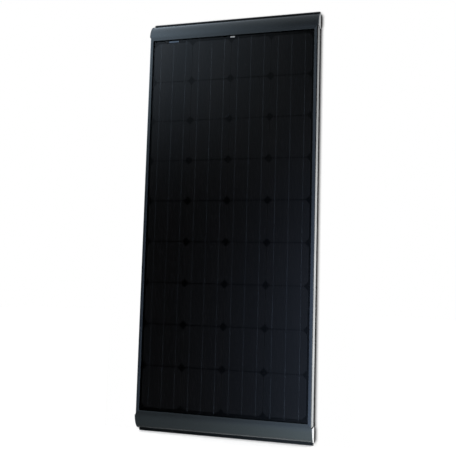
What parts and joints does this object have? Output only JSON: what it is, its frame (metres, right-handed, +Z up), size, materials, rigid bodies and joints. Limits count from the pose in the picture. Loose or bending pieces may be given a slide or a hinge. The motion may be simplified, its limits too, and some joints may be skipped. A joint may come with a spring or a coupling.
{
  "type": "solar panel",
  "caption": "Framed glass solar panel with curved aerodynamic end profiles, a rear junction box with a hinged lid, and plug-in cables.",
  "frame": {"origin": "middle of the width and depth, at the outer edge of the lower base lip", "axes": "+X across the width to the right when facing the glass, +Y from the glass to the open rear, +Z up the length"},
  "size_m": [0.678, 0.048, 1.61],
  "materials": {
    "glass": "low-iron toughened glass, lightly textured, gloss",
    "encapsulant": "clear cured film",
    "silicon": "blue-black textured monocrystalline silicon",
    "ribbon": "dark-coated tinned copper strip; bus ribbons and leads have a black film in front",
    "backsheet": "laminated polymer film, black towards the cells, off-white outside",
    "seal_rubber": "black rubber",
    "anodised_frame": "anthracite anodised, satin",
    "cap_metal": "anthracite anodised, satin",
    "key_metal": "raw cast",
    "steel": "stainless",
    "box_plastic": "black glass-filled plastic",
    "silicone": "cured silicone bead",
    "contact_metal": "tin-plated",
    "diode_body": "black moulded epoxy",
    "copper": "bare stranded copper",
    "cable_sheath": "black double-insulated sheath",
    "connector_plastic": "black moulded",
    "blank_label": "plain blank film"
  },
  "bodies": {
    "panel": {"backsheet": "backsheet", "bus_ribbons_bottom": "ribbon", "bus_ribbons_top": "ribbon", "bypass_diodes": "diode_body", "cable_clips": "box_plastic", "cable_conductors": "copper", "cable_negative": "cable_sheath", "cable_positive": "cable_sheath", "cap_screws": "steel", "cell_string_1": "silicon", "cell_string_2": "silicon", "cell_string_3": "silicon", "cell_string_4": "silicon", "corner_key_bottom_left": "key_metal", "corner_key_bottom_right": "key_metal", "corner_key_top_left": "key_metal", "corner_key_top_right": "key_metal", "edge_seal": "seal_rubber", "end_cap_bottom_left": "cap_metal", "end_cap_bottom_right": "cap_metal", "end_cap_top_left": "cap_metal", "end_cap_top_right": "cap_metal", "end_profile_bottom": "anodised_frame", "end_profile_top": "anodised_frame", "front_badge_tag": "blank_label", "front_encapsulant": "encapsulant", "front_glass": "glass", "front_serial_tag": "blank_label", "gland_grommets": "seal_rubber", "gland_nuts": "box_plastic", "junction_box_adhesive": "silicone", "junction_box_base": "box_plastic", "lid_hinge_pin": "steel", "output_leads": "ribbon", "plug_body": "connector_plastic", "plug_contact": "contact_metal", "plug_nut": "connector_plastic", "rear_encapsulant": "encapsulant", "rear_label": "blank_label", "side_frame_left": "anodised_frame", "side_frame_right": "anodised_frame", "socket_body": "connector_plastic", "socket_contact": "contact_metal", "socket_nut": "connector_plastic", "string_ribbons_1": "ribbon", "string_ribbons_2": "ribbon", "string_ribbons_3": "ribbon", "string_ribbons_4": "ribbon", "terminals": "contact_metal"},
    "lid": {"junction_box_lid": "box_plastic", "junction_box_lid_seal": "seal_rubber"}
  },
  "joints": [
    {"name": "lid_hinge", "type": "hinge", "parent": "panel", "child": "lid", "pos_m": [0, 0.0041, 1.4763], "axis": [1, 0, 0], "range_deg": [0, 110]}
  ]
}
